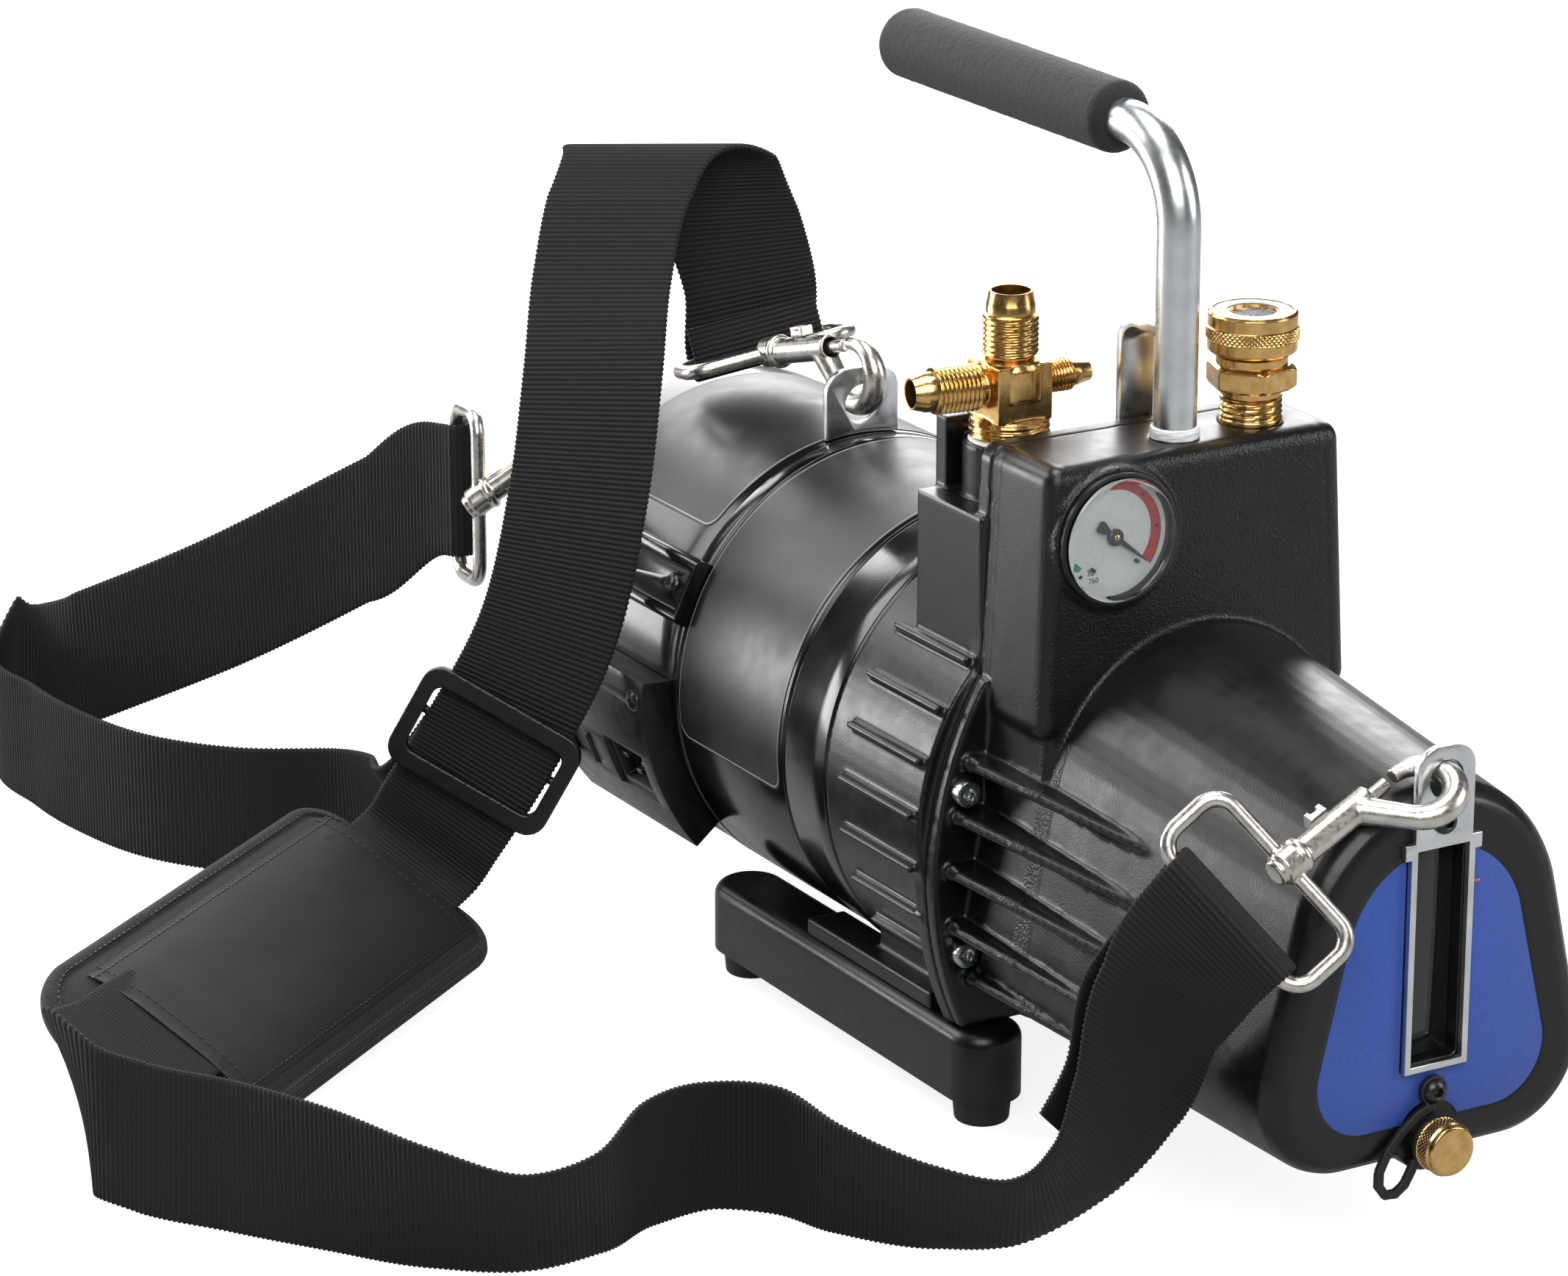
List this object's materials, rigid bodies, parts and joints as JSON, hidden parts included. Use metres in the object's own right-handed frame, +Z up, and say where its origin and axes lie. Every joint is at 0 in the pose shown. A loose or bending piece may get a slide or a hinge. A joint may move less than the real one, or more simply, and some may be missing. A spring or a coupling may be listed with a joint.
{
  "type": "rotary vane vacuum pump",
  "caption": "Portable electric rotary vane vacuum pump with finned oil case, gauge, brass flare tee, carry handle and a padded shoulder strap on snap hooks.",
  "frame": {"origin": "on the floor, midway between the four feet, under the shaft", "axes": "+Z up, -Y towards the sight glass, +Y towards the motor's rear; the shaft runs along Y"},
  "size_m": [0.4411, 0.688, 0.3492],
  "materials": {
    "black_casting": "black satin paint on an aluminium casting",
    "motor_paint": "black satin paint",
    "grey_sheet": "dark grey satin film",
    "blue_sheet": "blue satin film",
    "zinc_steel": "zinc plate",
    "screw_steel": "plain and blackened",
    "brass": "machined",
    "nickel": "satin nickel plate",
    "black_plastic": "moulded, satin",
    "black_rubber": "matt",
    "gasket_sheet": "matt",
    "grip_foam": "closed-cell foam, matt",
    "webbing": "ribbed woven nylon",
    "pad_fabric": "woven nylon",
    "oil_window": "clear, dark behind",
    "clear_lens": "clear, polished",
    "dial_white": "satin print",
    "needle_black": "matt",
    "core_steel": "bare laminations",
    "copper_winding": "enamelled wire",
    "machined_steel": "ground",
    "cast_ring": "machined",
    "shield_aluminium": "cast",
    "vane_composite": "ground"
  },
  "bodies": {
    "pump": {"oil_case": "black_casting", "bell_housing": "black_casting", "motor_shell": "motor_paint", "motor_rear_cover": "motor_paint", "side_cover": "motor_paint", "skids": "motor_paint", "motor_labels": "grey_sheet", "face_label": "blue_sheet", "motor_eyes": "zinc_steel", "front_eye": "zinc_steel", "hanger_hook": "zinc_steel", "handle_tube": "zinc_steel", "case_screws": "screw_steel", "small_screws": "screw_steel", "drain_fitting": "brass", "intake_tee": "brass", "exhaust_fitting": "brass", "snap_hooks": "nickel", "terminal_box": "black_plastic", "power_inlet": "black_plastic", "slide_adjuster": "black_plastic", "gauge_case": "black_plastic", "rubber_feet": "black_rubber", "drain_tether": "black_rubber", "shaft_seal": "black_rubber", "case_gasket": "gasket_sheet", "foam_grip": "grip_foam", "strap_front_band": "webbing", "strap_arch_band": "webbing", "strap_side_band": "webbing", "shoulder_pad": "pad_fabric", "sight_glass": "oil_window", "gauge_lens": "clear_lens", "gauge_dial": "dial_white", "stator_core": "core_steel", "stator_windings": "copper_winding", "motor_bearings": "machined_steel", "exhaust_valve": "machined_steel", "first_stage_ring": "cast_ring", "middle_plate": "cast_ring", "second_stage_ring": "cast_ring", "end_plate": "cast_ring", "end_shields": "shield_aluminium"},
    "drive": {"motor_rotor": "core_steel", "motor_shaft": "machined_steel", "cooling_fan": "black_plastic", "shaft_coupling": "machined_steel", "pump_rotor": "machined_steel", "vane_springs": "machined_steel"},
    "first_vane_left": {"first_vane_left": "vane_composite"},
    "first_vane_right": {"first_vane_right": "vane_composite"},
    "second_vane_left": {"second_vane_left": "vane_composite"},
    "second_vane_right": {"second_vane_right": "vane_composite"},
    "gauge_needle": {"gauge_needle": "needle_black"},
    "exhaust_cap": {"exhaust_cap": "brass"},
    "drain_cap": {"drain_cap": "brass"},
    "rocker_switch": {"rocker_switch": "black_plastic"},
    "front_gate": {"front_gate": "nickel"},
    "top_gate": {"top_gate": "nickel"},
    "rear_gate": {"rear_gate": "nickel"}
  },
  "joints": [
    {"name": "drive_spin", "type": "hinge", "parent": "pump", "child": "drive", "pos_m": [0, 0, 0.105], "axis": [0, 1, 0], "continuous": true},
    {"name": "first_vane_left_slide", "type": "slide", "parent": "drive", "child": "first_vane_left", "axis": [-1, 0, 0], "range_m": [0, 0.0032]},
    {"name": "first_vane_right_slide", "type": "slide", "parent": "drive", "child": "first_vane_right", "axis": [1, 0, 0], "range_m": [0, 0.0032]},
    {"name": "second_vane_left_slide", "type": "slide", "parent": "drive", "child": "second_vane_left", "axis": [-1, 0, 0], "range_m": [0, 0.0032]},
    {"name": "second_vane_right_slide", "type": "slide", "parent": "drive", "child": "second_vane_right", "axis": [1, 0, 0], "range_m": [0, 0.0032]},
    {"name": "needle_sweep", "type": "hinge", "parent": "pump", "child": "gauge_needle", "pos_m": [-0.033, -0.1105, 0.2115], "axis": [0, -1, 0], "range_deg": [0, 260]},
    {"name": "exhaust_cap_turn", "type": "hinge", "parent": "pump", "child": "exhaust_cap", "pos_m": [0.033, -0.093, 0.268], "axis": [0, 0, 1], "range_deg": [0, 720]},
    {"name": "drain_cap_turn", "type": "hinge", "parent": "pump", "child": "drain_cap", "pos_m": [0, -0.257, 0.043], "axis": [0, -1, 0], "range_deg": [0, 720]},
    {"name": "switch_tip", "type": "hinge", "parent": "pump", "child": "rocker_switch", "pos_m": [-0.08252, 0.155, 0.07166], "axis": [0.3746, 0, -0.9272], "range_deg": [-18, 0]},
    {"name": "front_gate_slide", "type": "slide", "parent": "pump", "child": "front_gate", "axis": [-0.9404, 0.0806, -0.3305], "range_m": [0, 0.006], "stiffness_N_per_m": 400},
    {"name": "top_gate_slide", "type": "slide", "parent": "pump", "child": "top_gate", "axis": [-0.1199, 0.991, -0.0593], "range_m": [0, 0.006], "stiffness_N_per_m": 400},
    {"name": "rear_gate_slide", "type": "slide", "parent": "pump", "child": "rear_gate", "axis": [-0.8011, 0.1197, -0.5864], "range_m": [0, 0.006], "stiffness_N_per_m": 400}
  ]
}
